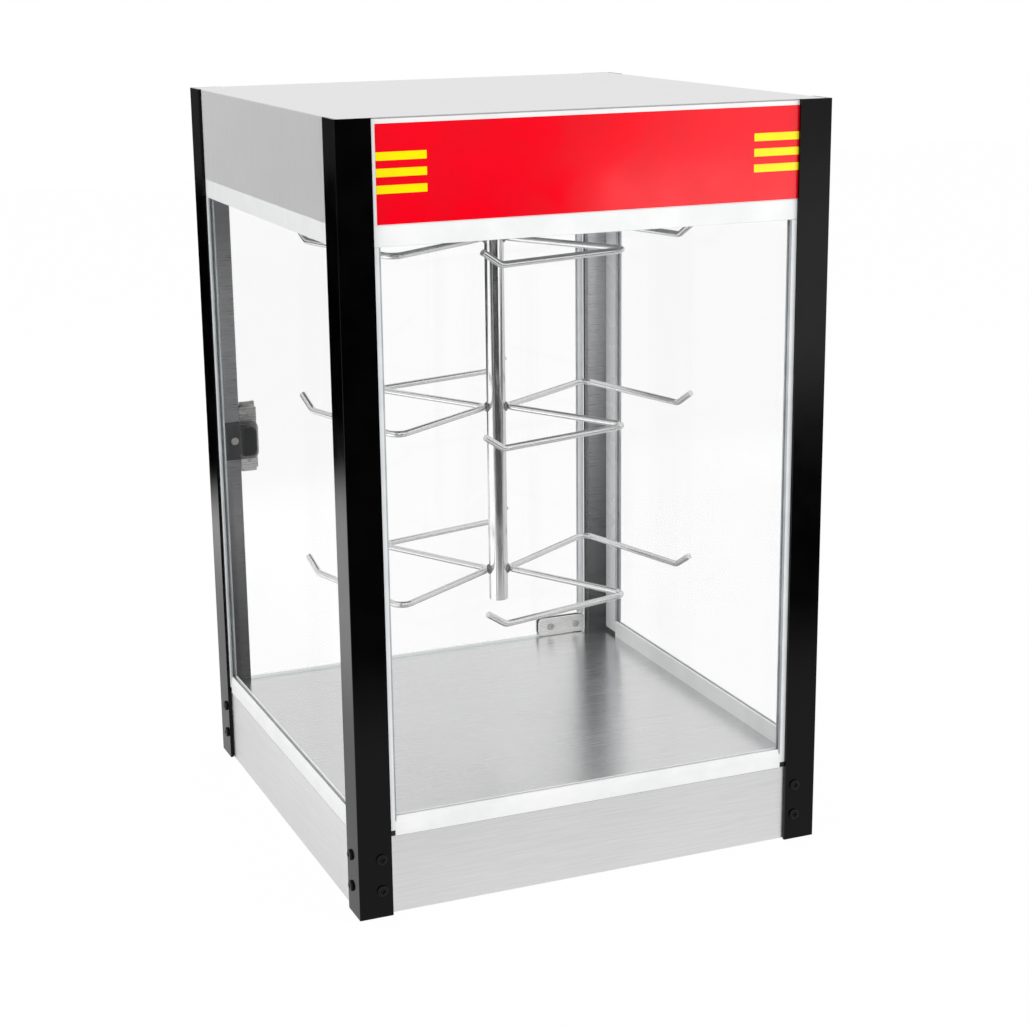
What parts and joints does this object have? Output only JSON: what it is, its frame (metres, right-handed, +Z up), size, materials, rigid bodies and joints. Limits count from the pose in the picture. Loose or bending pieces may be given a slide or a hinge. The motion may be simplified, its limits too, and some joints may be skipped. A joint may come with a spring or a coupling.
{
  "type": "rotating food display cabinet",
  "caption": "Countertop heated display cabinet: black corner posts, glass walls, steel deck, red sign header, hinged rear glass door and a motor-turned hanging wire rack.",
  "frame": {"origin": "on the counter at the centre of the footprint, under the axis of the rotating rack", "axes": "+Z up, -Y towards the sign and the front glass, +Y towards the operator's door, +X to the right when seen from the front"},
  "size_m": [0.4746, 0.4826, 0.715],
  "materials": {
    "black_enamel": "gloss",
    "black_screw": "gloss",
    "brushed_panel": "brushed",
    "brushed_header": "brushed",
    "brushed_deck": "brushed",
    "galvanised_sheet": "matt",
    "white_rail": "satin",
    "white_vinyl": "satin",
    "black_rubber": "matt",
    "clear_glass": "polished",
    "sign_face": "gloss",
    "plated_screw": "plated",
    "brushed_cover": "brushed",
    "cable_jacket": "satin",
    "white_ceramic": "matt",
    "motor_case": "satin",
    "black_nylon": "matt",
    "lamp_glass": "frosted",
    "lens_plastic": "frosted",
    "heater_sheath": "heat tinted",
    "black_plastic": "satin",
    "gloss_rocker": "gloss",
    "satin_hardware": "satin",
    "smoked_plastic": "gloss",
    "chrome_rack": "polished",
    "drive_steel": "ground"
  },
  "bodies": {
    "cabinet": {"post_front_left": "black_enamel", "post_front_right": "black_enamel", "post_rear_left": "black_enamel", "post_rear_right": "black_enamel", "post_screws_and_nuts": "black_screw", "front_skirt": "brushed_panel", "left_skirt": "brushed_panel", "right_skirt": "brushed_panel", "rear_skirt": "brushed_panel", "header_rear_panel": "brushed_panel", "header_shell": "brushed_header", "deck": "brushed_deck", "base_pan": "galvanised_sheet", "ceiling_pan": "galvanised_sheet", "motor_bracket": "galvanised_sheet", "front_bottom_rail": "white_rail", "left_bottom_rail": "white_rail", "right_bottom_rail": "white_rail", "front_top_rail": "white_rail", "left_top_rail": "white_rail", "right_top_rail": "white_rail", "door_head": "white_rail", "glazing_channels": "white_vinyl", "setting_blocks": "black_rubber", "front_glass": "clear_glass", "left_glass": "clear_glass", "right_glass": "clear_glass", "sign_panel": "sign_face", "panel_screws": "plated_screw", "wire_cover_left": "brushed_cover", "wire_cover_right": "brushed_cover", "riser_cable": "cable_jacket", "terminal_blocks": "white_ceramic", "lamp_holders": "white_ceramic", "gear_motor": "motor_case", "rack_bushing": "black_nylon", "hinge_bushings": "black_nylon", "lamp_tube": "lamp_glass", "lamp_lens": "lens_plastic", "heater_element": "heater_sheath", "heater_straps": "heater_sheath", "thermostat": "black_plastic", "switch_bodies": "black_plastic", "power_inlet": "black_plastic", "catch_magnet": "black_plastic", "catch_plate": "smoked_plastic"},
    "rack": {"rack_shaft": "chrome_rack", "drive_shaft": "drive_steel", "hanger_lower": "chrome_rack", "hanger_middle": "chrome_rack", "hanger_upper": "chrome_rack"},
    "door": {"door_pane": "clear_glass", "door_hinge_lower": "satin_hardware", "door_hinge_upper": "satin_hardware", "door_screws": "plated_screw", "door_edge_trim": "white_vinyl", "door_pull": "satin_hardware"},
    "knob": {"thermostat_knob": "black_plastic"},
    "lamp_switch": {"lamp_rocker": "gloss_rocker"},
    "heat_switch": {"heat_rocker": "gloss_rocker"}
  },
  "joints": [
    {"name": "rack_spin", "type": "hinge", "parent": "cabinet", "child": "rack", "pos_m": [0, 0, 0.63], "axis": [0, 0, 1], "continuous": true},
    {"name": "door_swing", "type": "hinge", "parent": "cabinet", "child": "door", "pos_m": [0.194, 0.2358, 0.08], "axis": [0, 0, -1], "range_deg": [0, 110]},
    {"name": "thermostat_turn", "type": "hinge", "parent": "cabinet", "child": "knob", "pos_m": [-0.06, 0.2323, 0.04], "axis": [0, -1, 0], "range_deg": [0, 270]},
    {"name": "lamp_switch_rock", "type": "hinge", "parent": "cabinet", "child": "lamp_switch", "pos_m": [-0.005, 0.226, 0.04], "axis": [-1, 0, 0], "range_deg": [0, 16]},
    {"name": "heat_switch_rock", "type": "hinge", "parent": "cabinet", "child": "heat_switch", "pos_m": [0.03, 0.226, 0.04], "axis": [-1, 0, 0], "range_deg": [0, 16]}
  ]
}
